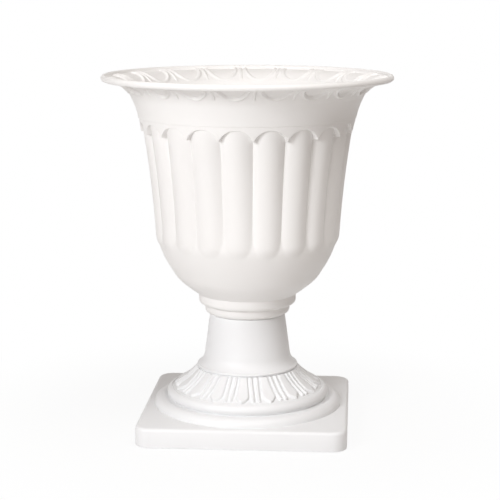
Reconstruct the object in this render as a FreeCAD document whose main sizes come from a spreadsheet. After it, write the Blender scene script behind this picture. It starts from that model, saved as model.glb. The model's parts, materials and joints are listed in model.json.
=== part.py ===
import os

import FreeCAD
import Part
import Sketcher

# Urn planter: a reeded bowl on a hollow pedestal, both moulded in white plastic.
# The bowl's spigot stands in the pedestal's neck and lifts straight out of it.
# Millimetres, +Z up. The origin is on the floor, under the urn's axis. The
# plinth's sides lie along X and Y, and its front faces -Y.

os.makedirs("parts", exist_ok=True)
doc = FreeCAD.newDocument("UrnPlanter")
sheet = doc.addObject("Spreadsheet::Sheet", "Sizes")

# ---------------------------------------------------------------- driving sizes
SIZES = [
    # overall
    ("total_height", 467.0, "floor to the top of the lip"),
    ("rim_radius", 190.0, "axis to the outermost edge of the lip"),
    ("wall", 4.0, "wall of the mouldings"),
    # lip and flare
    ("lip_round", 4.1, "half thickness of the rounded lip"),
    ("lip_ledge", 1.9, "flat under the lip before the cove starts"),
    ("flare_round", 36.4, "cove under the rim"),
    ("flare_wall", 4.6, "wall of the flare, which carries relief on both faces"),
    ("flare_depth", 22.4, "lip underside down to where the cove starts"),
    ("flare_low_round", 98.0, "gentle curve between the band and the cove"),
    ("egg_count", 20, "egg panels round the flare"),
    ("egg_depth", 1.3, "how deep an egg panel is sunk"),
    ("egg_reach", 31.0, "length of an egg panel in from the cove's top"),
    ("egg_half_width", 21.5, "half width of an egg panel at the rim"),
    ("egg_tip_half_width", 14.0, "half width where an egg panel's round end starts"),
    # scalloped band
    ("band_height", 411.5, "floor to the band's upper edge"),
    ("band_width", 16.5, "height of the band, its points included"),
    ("band_radius", 141.9, "axis to the band's upper edge"),
    ("band_taper", 2.3, "how much narrower the band is at its points"),
    ("arch_rise", 12.5, "a scallop's height over the band's points"),
    ("point_width", 1.6, "width of a point between two scallops"),
    # reeds
    ("reed_count", 20, "reeds round the bowl, one under each scallop"),
    ("reed_round", 36.0, "radius of a reed's round face"),
    ("reed_rise", 7.2, "thickness of a reed's round face"),
    ("reed_low", 261.0, "floor to where a reed's round end starts"),
    ("reed_mid", 335.0, "floor to the middle section of a reed"),
    ("reed_low_radius", 122.0, "axis to a reed's face, low"),
    ("reed_mid_radius", 128.5, "axis to a reed's face, middle"),
    ("reed_high_radius", 138.9, "axis to a reed's face, under the band"),
    ("valley_low_radius", 118.4, "axis to the valley between reeds, low"),
    ("valley_high_radius", 131.8, "axis to the valley between reeds, high"),
    ("side_round", 1400.0, "hollow curve of the bowl's side"),
    # round bottom and collar
    ("bowl_round", 122.0, "radius of the bowl's round bottom"),
    ("bowl_centre", 280.8, "floor to the centre of the round bottom"),
    ("high_ring_radius", 64.6, "upper ring of the collar"),
    ("high_ring_round", 5.8, "round lower edge of the upper ring"),
    ("low_ring_radius", 56.3, "lower ring of the collar"),
    ("low_ring_height", 12.9, "height of the lower ring"),
    ("low_ring_round", 6.6, "round lower edge of the lower ring"),
    # spigot and drain
    ("throat_wall", 10.0, "wall inside the upper ring, measured level"),
    ("seat_height", 150.6, "floor to the seam between bowl and pedestal"),
    ("spigot_radius", 44.5, "outside of the spigot"),
    ("spigot_length", 36.0, "how far the spigot stands in the neck"),
    ("socket_gap", 0.4, "clearance round the spigot in the neck"),
    ("socket_spare", 5.0, "room under the spigot before the socket widens"),
    ("drain_radius", 9.0, "drain hole"),
    ("bowl_turn", -1.6, "how far the bowl stands turned on its foot, in degrees"),
    # drain plug
    ("plug_gap", 0.05, "clearance round the plug's stem"),
    ("plug_flange", 15.0, "radius of the plug's flange"),
    ("plug_flange_thick", 2.5, "thickness of the plug's flange"),
    ("plug_grip", 5.0, "radius of the plug's grip"),
    ("plug_grip_height", 9.0, "height of the plug's grip"),
    ("plug_knob", 7.5, "radius of the knob on the grip"),
    ("plug_knob_thick", 4.0, "thickness of the knob on the grip"),
    ("plug_nose", 3.0, "how far the stem comes out under the drain hole"),
    ("plug_taper", 1.5, "how much narrower the stem is at its tip"),
    # neck
    ("neck_radius", 50.1, "outside of the neck at the seam"),
    ("neck_shoulder", 3.0, "round edge at the top of the neck"),
    ("neck_waist", 95.5, "floor to where the neck starts to flare"),
    ("neck_waist_radius", 57.0, "outside of the neck where it starts to flare"),
    ("neck_cove", 22.0, "cove at the foot of the neck"),
    ("bead_height", 79.6, "floor to the middle of the bead"),
    ("bead_radius", 67.2, "axis to the face of the bead"),
    ("bead_round", 2.2, "radius of the bead"),
    # skirt with its leaves and ribs
    ("skirt_low_radius", 100.0, "axis to the foot of the skirt"),
    ("skirt_low", 49.8, "floor to the foot of the skirt"),
    ("skirt_wall", 6.0, "wall of the skirt, measured level"),
    ("skirt_round", 95.0, "hollow curve of the skirt"),
    ("leaf_count", 16, "leaves round the skirt"),
    ("relief_rise", 2.2, "how far leaves and ribs stand up from the skirt"),
    ("leaf_tip_radius", 98.0, "axis to the point of a leaf"),
    ("leaf_shoulder_radius", 92.5, "axis to the shoulder of a leaf"),
    ("leaf_half_width", 8.7, "half width of a leaf at its shoulder"),
    ("leaf_top_half_width", 4.6, "half width of a leaf at the bead"),
    ("rib_width", 4.0, "width of a rib"),
    ("rib_gap", 3.6, "gap between the two ribs of a pair"),
    ("rib_end_radius", 96.0, "axis to the end of a rib"),
    # round mouldings of the foot
    ("high_torus_radius", 108.0, "axis to the face of the upper round"),
    ("high_torus_round", 7.6, "radius of the upper round"),
    ("low_torus_radius", 125.5, "axis to the face of the lower round"),
    ("low_torus_round", 11.0, "radius of the lower round"),
    ("torus_groove", 2.1, "depth of the groove behind the lower round"),
    # plinth
    ("plinth_side", 271.6, "side of the square plinth"),
    ("plinth_top", 26.5, "floor to the plinth's upper face"),
    ("plinth_corner", 20.0, "radius of the plinth's corners, seen from above"),
    ("plinth_edge", 3.5, "round upper edge of the plinth"),
    ("cavity_radius", 100.0, "hollow inside the foot"),
    ("web_thick", 3.0, "stiffening webs under the plinth"),
    ("web_clear", 4.0, "how far the webs stay above the plinth's lower edge"),
    # foot pads
    ("pad_radius", 9.0, "radius of a foot pad"),
    ("pad_thick", 2.5, "thickness of a foot pad"),
    ("pad_proud", 1.0, "how far a foot pad stands out under the plinth"),
    ("pad_gap", 0.1, "clearance round a foot pad in its recess"),
    ("pad_inset", 23.0, "plinth's side to the middle of a foot pad"),
    ("boss_radius", 12.5, "boss that holds a foot pad"),
    ("corners", 4, "corners of the plinth"),
    ("eighth_turn", 45, "from a side of the plinth to its corner, in degrees"),
]

# -------------------------------------------------------- sizes worked out from them
DERIVED = [
    ("lip_middle", "total_height - lip_round"),
    ("lip_under", "total_height - 2 * lip_round"),
    ("lip_nose_radius", "rim_radius - lip_round"),
    ("flare_radius", "lip_nose_radius - lip_ledge"),
    ("flare_centre", "lip_under - flare_round"),
    ("flare_start", "lip_under - flare_depth"),
    ("flare_start_radius", "flare_radius - sqrt(flare_round ^ 2 - (flare_start - flare_centre) ^ 2)"),
    ("dish_round", "flare_round + flare_wall"),
    ("dish_top", "flare_centre + dish_round"),
    ("dish_start_radius", "flare_radius - sqrt(dish_round ^ 2 - (flare_start - flare_centre) ^ 2)"),
    ("dish_low_radius", "band_radius - flare_wall"),
    ("band_low", "band_height - band_width"),
    ("band_low_radius", "band_radius - band_taper"),
    ("pitch_half", "band_low_radius * sin(180 deg / reed_count)"),
    ("arch_half", "pitch_half - point_width / 2"),
    ("arch_round", "(arch_half ^ 2 + arch_rise ^ 2) / (2 * arch_rise)"),
    ("arch_foot", "band_low - 1"),
    ("arch_floor", "valley_high_radius + 0.5"),
    ("arch_depth", "band_radius - arch_floor + 5"),
    ("reed_high", "band_height - 2.5"),
    ("reed_half", "sqrt(reed_round ^ 2 - (reed_round - reed_rise) ^ 2)"),
    ("reed_low_root", "reed_low_radius - reed_rise"),
    ("reed_mid_root", "reed_mid_radius - reed_rise"),
    ("reed_high_root", "reed_high_radius - reed_rise"),
    ("valley_low", "bowl_centre - sqrt(bowl_round ^ 2 - valley_low_radius ^ 2)"),
    ("ring_step", "seat_height + low_ring_height"),
    ("ring_ledge_radius", "high_ring_radius - high_ring_round"),
    ("high_ring_mid", "ring_step + high_ring_round"),
    ("bowl_start", "bowl_centre - sqrt(bowl_round ^ 2 - high_ring_radius ^ 2)"),
    ("low_ring_foot_radius", "low_ring_radius - low_ring_round"),
    ("low_ring_mid", "seat_height + low_ring_round"),
    ("spigot_end", "seat_height - spigot_length"),
    ("well_floor", "spigot_end + wall"),
    ("well_radius", "spigot_radius - wall"),
    ("throat_low", "seat_height + wall"),
    ("inner_round", "bowl_round - wall"),
    ("throat_radius", "high_ring_radius - throat_wall"),
    ("throat_high", "bowl_centre - sqrt(inner_round ^ 2 - throat_radius ^ 2)"),
    ("inner_low_radius", "valley_low_radius - wall"),
    ("inner_low", "bowl_centre - sqrt(inner_round ^ 2 - inner_low_radius ^ 2)"),
    ("inner_high_radius", "valley_high_radius - wall"),
    ("egg_tip_radius", "flare_radius - egg_reach"),
    ("egg_turn_radius", "egg_tip_radius + egg_tip_half_width * 0.9"),
    ("egg_tip_round", "(egg_tip_half_width ^ 2 + (egg_turn_radius - egg_tip_radius) ^ 2)"
                      " / (2 * (egg_turn_radius - egg_tip_radius))"),
    ("egg_level_reach", "flare_radius - (egg_tip_radius - 2)"),
    ("egg_out_round", "flare_round - 0.6"),
    ("egg_in_round", "flare_round + egg_depth"),
    ("dish_out_round", "dish_round + 0.6"),
    ("dish_in_round", "dish_round - egg_depth"),
    ("egg_low_sine", "egg_level_reach / dish_out_round"),
    ("egg_low_cosine", "sqrt(1 - egg_low_sine ^ 2)"),
    ("egg_low_out_radius", "flare_radius - egg_out_round * egg_low_sine"),
    ("egg_low_out", "flare_centre + egg_out_round * egg_low_cosine"),
    ("egg_low_in_radius", "flare_radius - egg_in_round * egg_low_sine"),
    ("egg_low_in", "flare_centre + egg_in_round * egg_low_cosine"),
    ("egg_top_out", "flare_centre + egg_out_round"),
    ("egg_top_in", "flare_centre + egg_in_round"),
    ("dish_low_out_radius", "flare_radius - dish_out_round * egg_low_sine"),
    ("dish_low_out", "flare_centre + dish_out_round * egg_low_cosine"),
    ("dish_low_in_radius", "flare_radius - dish_in_round * egg_low_sine"),
    ("dish_low_in", "flare_centre + dish_in_round * egg_low_cosine"),
    ("dish_top_out", "flare_centre + dish_out_round"),
    ("dish_top_in", "flare_centre + dish_in_round"),
    ("flare_depth_over", "flare_depth + 2 * lip_round"),
    ("stem_radius", "drain_radius - plug_gap"),
    ("stem_tip_radius", "stem_radius - plug_taper"),
    ("stem_tip", "spigot_end - plug_nose"),
    ("flange_top", "well_floor + plug_flange_thick"),
    ("grip_top", "flange_top + plug_grip_height"),
    ("knob_top", "grip_top + plug_knob_thick"),
    ("socket_radius", "spigot_radius + socket_gap"),
    ("socket_low", "spigot_end - socket_spare"),
    ("neck_rim_radius", "neck_radius - neck_shoulder"),
    ("shoulder_low", "seat_height - neck_shoulder"),
    ("bead_top", "bead_height + bead_round"),
    ("bead_low", "bead_height - bead_round"),
    ("bead_root", "bead_radius - bead_round"),
    ("high_torus_mid", "high_torus_radius - high_torus_round"),
    ("high_torus_centre", "skirt_low + 0.6 - high_torus_round"),
    ("high_torus_top", "high_torus_centre + high_torus_round"),
    ("low_torus_mid", "low_torus_radius - low_torus_round"),
    ("low_torus_top", "plinth_top + low_torus_round"),
    ("groove_height", "low_torus_top - torus_groove"),
    ("groove_out", "low_torus_mid - sqrt(low_torus_round ^ 2 - (low_torus_round - torus_groove) ^ 2)"),
    ("groove_in", "high_torus_mid + sqrt(high_torus_round ^ 2 - (high_torus_centre - groove_height) ^ 2)"),
    ("foot_root", "plinth_top - wall / 2"),
    ("plinth_bottom", "pad_proud"),
    ("plinth_half", "plinth_side / 2"),
    ("plinth_thick", "plinth_top - plinth_bottom"),
    ("hollow_half", "plinth_half - wall"),
    ("hollow_corner", "plinth_corner - wall"),
    ("hollow_depth", "plinth_thick - wall"),
    ("cavity_foot", "plinth_bottom - 1"),
    ("cavity_step", "plinth_top + wall"),
    ("skirt_inner_low_radius", "skirt_low_radius - skirt_wall"),
    ("skirt_inner_low", "skirt_low - wall"),
    ("skirt_inner_high_radius", "bead_root - wall"),
    ("neck_inner_radius", "neck_waist_radius - wall"),
    ("cavity_roof", "seat_height + 1"),
    ("leaf_pitch_half", "180 / leaf_count"),
    ("skirt_slope", "(bead_low - skirt_low) / (skirt_low_radius - bead_root)"),
    ("relief_sink", "wall / 2"),
    ("layer_in_radius", "bead_root - relief_sink"),
    ("leaf_top_radius", "layer_in_radius - relief_sink"),
    ("layer_high", "bead_low + relief_rise + relief_sink * skirt_slope"),
    ("layer_high_under", "bead_low - 1 + relief_sink * skirt_slope"),
    ("layer_low", "skirt_low + relief_rise"),
    ("layer_low_under", "skirt_low - 1"),
    ("rib_in", "rib_gap / 2"),
    ("rib_out", "rib_gap / 2 + rib_width"),
    ("web_floor", "plinth_bottom + web_clear"),
    ("web_height", "hollow_depth - web_clear"),
    ("web_half", "web_thick / 2"),
    ("web_start", "cavity_radius - 3"),
    ("pad_place", "plinth_half - pad_inset"),
    ("pad_diagonal", "pad_place * sqrt(2)"),
    ("recess_depth", "pad_thick - pad_proud"),
    ("straight_plinth_half", "plinth_half - plinth_corner"),
    ("straight_hollow_half", "hollow_half - hollow_corner"),
    ("side_web_end", "hollow_half + 1"),
    ("corner_web_end", "pad_diagonal"),
    ("skirt_low_under", "skirt_low - 2"),
    ("skirt_height_over", "bead_low - skirt_low + 10"),
    ("recess_radius", "pad_radius + pad_gap"),
]

for row, (alias, value, note) in enumerate(SIZES, start=1):
    sheet.set("A%d" % row, note)
    sheet.set("B%d" % row, str(value))
    sheet.setAlias("B%d" % row, alias)
for row, (alias, formula) in enumerate(DERIVED, start=len(SIZES) + 1):
    sheet.set("A%d" % row, alias.replace("_", " "))
    sheet.set("B%d" % row, "=" + formula)
    sheet.setAlias("B%d" % row, alias)
doc.recompute()


def size(name):
    """The sheet's number for an alias; a minus sign before it mirrors it."""
    if name == "0":
        return 0.0
    if name.startswith("-"):
        return -size(name[1:])
    return float(sheet.get(name))


def bound(name):
    """The expression that ties a property to an alias."""
    return "-Sizes." + name[1:] if name.startswith("-") else "Sizes." + name


# ------------------------------------------------------------------ drawing helpers
def new_body(name, compound=False):
    body = doc.addObject("PartDesign::Body", name)
    body.Label = name
    body.AllowCompound = compound
    return body


def new_sketch(body, name, plane, offset=None, turn=None):
    """A sketch on one of the body's own planes, moved along its normal by an alias."""
    sketch = body.newObject("Sketcher::SketchObject", name)
    support = [f for f in body.Origin.OriginFeatures if f.Role == plane][0]
    sketch.AttachmentSupport = [(support, "")]
    sketch.MapMode = "FlatFace"
    if offset:
        sketch.setExpression("AttachmentOffset.Base.z", bound(offset))
    if turn:
        spin = FreeCAD.Rotation(FreeCAD.Vector(0, 0, 1), 1)
        sketch.AttachmentOffset = FreeCAD.Placement(FreeCAD.Vector(), spin)
        sketch.setExpression("AttachmentOffset.Rotation.Angle", bound(turn))
    return sketch


def arc_between(start, end, radius, side):
    """The short arc from start to end; side 1 bulges to the right of the way there, -1 to the left."""
    chord = end - start
    half = chord.Length / 2
    sagitta = radius - (max(radius ** 2 - half ** 2, 0.0)) ** 0.5
    across = FreeCAD.Vector(chord.y, -chord.x, 0).normalize()
    middle = (start + end) / 2 + across * sagitta * side
    return Part.Arc(start, middle, end) if side > 0 else Part.Arc(end, middle, start)


def outline(sketch, corners, arcs=None):
    """A closed outline whose corners and radii are all tied to the sheet.

    corners: (across, up) aliases. arcs: {number of the edge's first corner: (radius alias, side)}.
    """
    arcs = arcs or {}
    points = [FreeCAD.Vector(size(x), size(y), 0) for x, y in corners]
    first = sketch.GeometryCount
    for i, start in enumerate(points):
        end = points[(i + 1) % len(points)]
        if i in arcs:
            sketch.addGeometry(arc_between(start, end, size(arcs[i][0]), arcs[i][1]), False)
        else:
            sketch.addGeometry(Part.LineSegment(start, end), False)

    def end_at(edge, point):
        geometry = sketch.Geometry[edge]
        near = (geometry.StartPoint - point).Length < (geometry.EndPoint - point).Length
        return 1 if near else 2

    rules = []
    ties = []
    for i, point in enumerate(points):
        here, before = first + i, first + (i - 1) % len(points)
        at = end_at(here, point)
        rules.append(Sketcher.Constraint("Coincident", before, end_at(before, point), here, at))
        for kind, axis, name, value in (("DistanceX", -2, corners[i][0], point.x),
                                        ("DistanceY", -1, corners[i][1], point.y)):
            if name == "0":
                rules.append(Sketcher.Constraint("PointOnObject", here, at, axis))
            else:
                ties.append((len(rules), name))
                rules.append(Sketcher.Constraint(kind, -1, 1, here, at, value))
        if i in arcs:
            ties.append((len(rules), arcs[i][0]))
            rules.append(Sketcher.Constraint("Radius", here, size(arcs[i][0])))
    base = sketch.ConstraintCount
    sketch.addConstraint(rules)
    for index, name in ties:
        sketch.setExpression("Constraints[%d]" % (base + index), bound(name))


def disc(sketch, radius, across="0", up="0"):
    """A circle tied to the sheet."""
    centre = FreeCAD.Vector(size(across), size(up), 0)
    circle = sketch.addGeometry(Part.Circle(centre, FreeCAD.Vector(0, 0, 1), size(radius)), False)
    rules = [Sketcher.Constraint("Radius", circle, size(radius))]
    ties = [(0, radius)]
    for kind, axis, name, value in (("DistanceX", -2, across, centre.x), ("DistanceY", -1, up, centre.y)):
        if name == "0":
            rules.append(Sketcher.Constraint("PointOnObject", circle, 3, axis))
        else:
            ties.append((len(rules), name))
            rules.append(Sketcher.Constraint(kind, -1, 1, circle, 3, value))
    base = sketch.ConstraintCount
    sketch.addConstraint(rules)
    for index, name in ties:
        sketch.setExpression("Constraints[%d]" % (base + index), bound(name))


def turned(body, kind, name, sketch, axis="V_Axis", angle=360.0, reverse=False):
    """A Revolution or Groove of a sketch."""
    feature = body.newObject("PartDesign::" + kind, name)
    feature.Profile = sketch
    feature.ReferenceAxis = (sketch, [axis])
    feature.Angle = angle
    feature.Reversed = reverse
    doc.recompute()
    return feature


def raised(body, kind, name, sketch, length, reverse=False):
    """A Pad or Pocket whose length is tied to the sheet."""
    feature = body.newObject("PartDesign::" + kind, name)
    feature.Profile = sketch
    feature.setExpression("Length", bound(length))
    feature.Reversed = reverse
    doc.recompute()
    return feature


def repeated(body, name, originals, count, sketch):
    """A full-circle pattern about the urn's axis."""
    pattern = body.newObject("PartDesign::PolarPattern", name)
    pattern.Originals = originals
    pattern.Axis = (sketch, ["N_Axis"])
    pattern.Angle = 360.0
    pattern.setExpression("Occurrences", bound(count))
    body.Tip = pattern
    doc.recompute()
    return pattern


# ------------------------------------------------------------------------------ bowl
def make_bowl():
    body = new_body("bowl_moulding")
    sketch = new_sketch(body, "bowl_outline", "XZ_Plane")
    outline(
        sketch,
        [("0", "spigot_end"), ("spigot_radius", "spigot_end"), ("spigot_radius", "seat_height"),
         ("low_ring_foot_radius", "seat_height"), ("low_ring_radius", "low_ring_mid"),
         ("low_ring_radius", "ring_step"), ("ring_ledge_radius", "ring_step"),
         ("high_ring_radius", "high_ring_mid"), ("high_ring_radius", "bowl_start"),
         ("valley_low_radius", "valley_low"), ("valley_high_radius", "band_low"),
         ("band_low_radius", "band_low"), ("band_radius", "band_height"),
         ("flare_start_radius", "flare_start"), ("flare_radius", "lip_under"),
         ("lip_nose_radius", "lip_under"), ("rim_radius", "lip_middle"),
         ("lip_nose_radius", "total_height"), ("0", "total_height")],
        {3: ("low_ring_round", 1), 6: ("high_ring_round", 1), 8: ("bowl_round", 1),
         9: ("side_round", -1), 12: ("flare_low_round", -1), 13: ("flare_round", -1),
         15: ("lip_round", 1), 16: ("lip_round", 1)})
    turned(body, "Revolution", "bowl_outside", sketch)

    arch = new_sketch(body, "scallop_outline", "YZ_Plane", "arch_floor")
    outline(
        arch,
        [("-arch_half", "arch_foot"), ("arch_half", "arch_foot"), ("arch_half", "band_low"),
         ("-arch_half", "band_low")],
        {2: ("arch_round", 1)})
    scallop = raised(body, "Pocket", "scallop", arch, "arch_depth", reverse=True)
    repeated(body, "scallops", [scallop], "reed_count", new_sketch(body, "scallop_axis", "XY_Plane"))

    faces = []
    for level in ("low", "mid", "high"):
        section = new_sketch(body, "reed_section_" + level, "XY_Plane", "reed_" + level)
        root = "reed_%s_root" % level
        outline(section, [(root, "-reed_half"), (root, "reed_half")], {0: ("reed_round", 1)})
        faces.append(section)
    reed = body.newObject("PartDesign::AdditiveLoft", "reed")
    reed.Profile = faces[0]
    reed.Sections = faces[1:]
    doc.recompute()

    end = new_sketch(body, "reed_end_section", "XY_Plane", "reed_low")
    outline(
        end,
        [("reed_low_root", "0"), ("reed_low_radius", "0"), ("reed_low_root", "reed_half")],
        {1: ("reed_round", 1)})
    cap = turned(body, "Revolution", "reed_end", end, "H_Axis", 180.0, reverse=True)
    repeated(body, "reeds", [reed, cap], "reed_count", new_sketch(body, "reed_axis", "XY_Plane"))

    hollow = new_sketch(body, "bowl_hollow_outline", "XZ_Plane")
    outline(
        hollow,
        [("0", "well_floor"), ("well_radius", "well_floor"), ("well_radius", "throat_low"),
         ("throat_radius", "throat_high"), ("inner_low_radius", "inner_low"),
         ("inner_high_radius", "band_low"), ("dish_low_radius", "band_height"),
         ("dish_start_radius", "flare_start"), ("flare_radius", "dish_top"),
         ("flare_radius", "total_height"), ("0", "total_height")],
        {3: ("inner_round", 1), 4: ("side_round", -1), 6: ("flare_low_round", -1),
         7: ("dish_round", -1)})
    turned(body, "Groove", "bowl_hollow", hollow)

    hole = new_sketch(body, "drain_outline", "XY_Plane", "well_floor")
    disc(hole, "drain_radius")
    raised(body, "Pocket", "drain_hole", hole, "wall")
    return body


def make_egg_panels():
    """Twenty round-ended plates, one layer on each face of the flare, to be sunk into it."""
    layers = new_body("egg_layers", compound=True)
    sketch = new_sketch(layers, "egg_layer_outline", "XZ_Plane")
    outline(
        sketch,
        [("egg_low_out_radius", "egg_low_out"), ("flare_radius", "egg_top_out"),
         ("flare_radius", "egg_top_in"), ("egg_low_in_radius", "egg_low_in")],
        {0: ("egg_out_round", -1), 2: ("egg_in_round", 1)})
    turned(layers, "Revolution", "egg_layer_outside", sketch)
    sketch = new_sketch(layers, "dish_layer_outline", "XZ_Plane")
    outline(
        sketch,
        [("dish_low_out_radius", "dish_low_out"), ("flare_radius", "dish_top_out"),
         ("flare_radius", "dish_top_in"), ("dish_low_in_radius", "dish_low_in")],
        {0: ("dish_out_round", -1), 2: ("dish_in_round", 1)})
    turned(layers, "Revolution", "egg_layer_inside", sketch)

    plan = new_body("egg_plan", compound=True)
    sketch = new_sketch(plan, "egg_outline", "XY_Plane", "flare_start")
    outline(
        sketch,
        [("egg_turn_radius", "-egg_tip_half_width"), ("flare_radius", "-egg_half_width"),
         ("flare_radius", "egg_half_width"), ("egg_turn_radius", "egg_tip_half_width")],
        {3: ("egg_tip_round", -1)})
    egg = raised(plan, "Pad", "egg", sketch, "flare_depth_over")
    repeated(plan, "eggs", [egg], "egg_count", sketch)
    panels = doc.addObject("Part::Common", "egg_panels")
    panels.Base, panels.Tool = layers, plan
    return panels


# -------------------------------------------------------------------------- pedestal
def make_pedestal():
    body = new_body("pedestal_moulding")
    square = new_sketch(body, "plinth_outline", "XY_Plane", "plinth_bottom")
    rounded_square(square, "plinth_half", "plinth_corner")
    plinth = raised(body, "Pad", "plinth", square, "plinth_thick")
    upper = [i for i, edge in enumerate(plinth.Shape.Edges, start=1)
             if abs(edge.BoundBox.ZMin - size("plinth_top")) < 0.01]
    rounding = body.newObject("PartDesign::Fillet", "plinth_rounding")
    rounding.Base = (plinth, ["Edge%d" % i for i in upper])
    rounding.setExpression("Radius", bound("plinth_edge"))
    doc.recompute()

    foot = new_sketch(body, "foot_outline", "XZ_Plane")
    outline(
        foot,
        [("0", "foot_root"), ("low_torus_radius", "foot_root"), ("low_torus_radius", "plinth_top"),
         ("low_torus_mid", "low_torus_top"), ("groove_out", "groove_height"),
         ("groove_in", "groove_height"), ("high_torus_radius", "high_torus_centre"),
         ("high_torus_mid", "high_torus_top"), ("skirt_low_radius", "skirt_low"),
         ("bead_root", "bead_low"), ("bead_radius", "bead_height"), ("bead_root", "bead_top"),
         ("neck_waist_radius", "neck_waist"), ("neck_radius", "shoulder_low"),
         ("neck_rim_radius", "seat_height"), ("0", "seat_height")],
        {2: ("low_torus_round", 1), 3: ("low_torus_round", 1), 5: ("high_torus_round", 1),
         6: ("high_torus_round", 1), 8: ("skirt_round", -1), 9: ("bead_round", 1), 10: ("bead_round", 1),
         11: ("neck_cove", -1), 13: ("neck_shoulder", 1)})
    turned(body, "Revolution", "foot", foot)

    hollow = new_sketch(body, "plinth_hollow_outline", "XY_Plane", "plinth_bottom")
    rounded_square(hollow, "hollow_half", "hollow_corner")
    raised(body, "Pocket", "plinth_hollow", hollow, "hollow_depth", reverse=True)

    for name, turn in (("side_web", None), ("corner_web", "eighth_turn")):
        sketch = new_sketch(body, name + "_outline", "XY_Plane", "web_floor", turn)
        outline(sketch, [("web_start", "-web_half"), (name + "_end", "-web_half"),
                         (name + "_end", "web_half"), ("web_start", "web_half")])
        web = raised(body, "Pad", name, sketch, "web_height")
        repeated(body, name + "s", [web], "corners", new_sketch(body, name + "_axis", "XY_Plane"))
    sketch = new_sketch(body, "boss_outline", "XY_Plane", "plinth_bottom")
    disc(sketch, "boss_radius", "pad_place", "pad_place")
    boss = raised(body, "Pad", "boss", sketch, "hollow_depth")
    repeated(body, "bosses", [boss], "corners", new_sketch(body, "boss_axis", "XY_Plane"))
    sketch = new_sketch(body, "recess_outline", "XY_Plane", "plinth_bottom")
    disc(sketch, "recess_radius", "pad_place", "pad_place")
    recess = raised(body, "Pocket", "pad_recess", sketch, "recess_depth", reverse=True)
    repeated(body, "pad_recesses", [recess], "corners", new_sketch(body, "recess_axis", "XY_Plane"))

    cavity = new_sketch(body, "cavity_outline", "XZ_Plane")
    outline(
        cavity,
        [("0", "cavity_foot"), ("cavity_radius", "cavity_foot"), ("cavity_radius", "cavity_step"),
         ("skirt_inner_low_radius", "skirt_inner_low"), ("skirt_inner_high_radius", "bead_low"),
         ("neck_inner_radius", "neck_waist"), ("socket_radius", "socket_low"),
         ("socket_radius", "cavity_roof"), ("0", "cavity_roof")],
        {3: ("skirt_round", -1)})
    turned(body, "Groove", "cavity", cavity)
    return body


def make_skirt_relief():
    """Pointed leaves with pairs of ribs between them, standing up from the skirt."""
    layer = new_body("skirt_layer")
    sketch = new_sketch(layer, "skirt_layer_outline", "XZ_Plane")
    outline(sketch, [("layer_in_radius", "layer_high_under"), ("skirt_low_radius", "layer_low_under"),
                     ("skirt_low_radius", "layer_low"), ("layer_in_radius", "layer_high")],
            {0: ("skirt_round", 1), 2: ("skirt_round", -1)})
    turned(layer, "Revolution", "skirt_layer_ring", sketch)

    plan = new_body("skirt_plan", compound=True)
    sketch = new_sketch(plan, "leaf_outline", "XY_Plane", "skirt_low_under")
    outline(
        sketch,
        [("leaf_top_radius", "-leaf_top_half_width"), ("leaf_shoulder_radius", "-leaf_half_width"),
         ("leaf_tip_radius", "0"), ("leaf_shoulder_radius", "leaf_half_width"),
         ("leaf_top_radius", "leaf_top_half_width")])
    parts = [raised(plan, "Pad", "leaf", sketch, "skirt_height_over")]
    for name, near, far in (("left_rib", "rib_in", "rib_out"), ("right_rib", "-rib_out", "-rib_in")):
        ribs = new_sketch(plan, name + "_outline", "XY_Plane", "skirt_low_under", "leaf_pitch_half")
        outline(ribs, [("leaf_top_radius", near), ("rib_end_radius", near),
                       ("rib_end_radius", far), ("leaf_top_radius", far)])
        parts.append(raised(plan, "Pad", name, ribs, "skirt_height_over"))
    repeated(plan, "leaves_and_ribs", parts, "leaf_count", sketch)
    relief = doc.addObject("Part::Common", "skirt_relief")
    relief.Base, relief.Tool = layer, plan
    return relief


def rounded_square(sketch, half, corner):
    """A square with round corners, tied to the sheet."""
    flat = "straight_" + half
    minus_half, minus_flat = "-" + half, "-" + flat
    outline(
        sketch,
        [(minus_flat, minus_half), (flat, minus_half), (half, minus_flat), (half, flat),
         (flat, half), (minus_flat, half), (minus_half, flat), (minus_half, minus_flat)],
        {edge: (corner, 1) for edge in (1, 3, 5, 7)})


# -------------------------------------------------------------------- small pieces
def make_plug():
    body = new_body("drain_plug")
    sketch = new_sketch(body, "plug_outline", "XZ_Plane")
    outline(
        sketch,
        [("0", "stem_tip"), ("stem_tip_radius", "stem_tip"), ("stem_radius", "spigot_end"),
         ("stem_radius", "well_floor"), ("plug_flange", "well_floor"), ("plug_flange", "flange_top"),
         ("plug_grip", "flange_top"), ("plug_grip", "grip_top"), ("plug_knob", "grip_top"),
         ("plug_knob", "knob_top"), ("0", "knob_top")])
    turned(body, "Revolution", "plug", sketch)
    return body


def make_foot_pad(number, side, front):
    pad = doc.addObject("Part::Cylinder", "foot_pad_%d" % number)
    pad.Label = "foot_pad_%d" % number
    pad.setExpression("Radius", bound("pad_radius"))
    pad.setExpression("Height", bound("pad_thick"))
    pad.setExpression("Placement.Base.x", bound("pad_place" if side > 0 else "-pad_place"))
    pad.setExpression("Placement.Base.y", bound("pad_place" if front > 0 else "-pad_place"))
    return pad


# ------------------------------------------------------------------------ assembly
bowl = doc.addObject("Part::Cut", "bowl")
bowl.Base, bowl.Tool = make_bowl(), make_egg_panels()
bowl.Placement.Rotation.Axis = FreeCAD.Vector(0, 0, 1)
bowl.setExpression("Placement.Rotation.Angle", bound("bowl_turn"))

pedestal = doc.addObject("Part::Fuse", "pedestal")
pedestal.Base, pedestal.Tool = make_pedestal(), make_skirt_relief()

corners = ((-1, -1), (1, -1), (1, 1), (-1, 1))
pads = [make_foot_pad(number, side, front) for number, (side, front) in enumerate(corners, start=1)]
pieces = [bowl, pedestal, make_plug()] + pads
doc.recompute()

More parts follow.
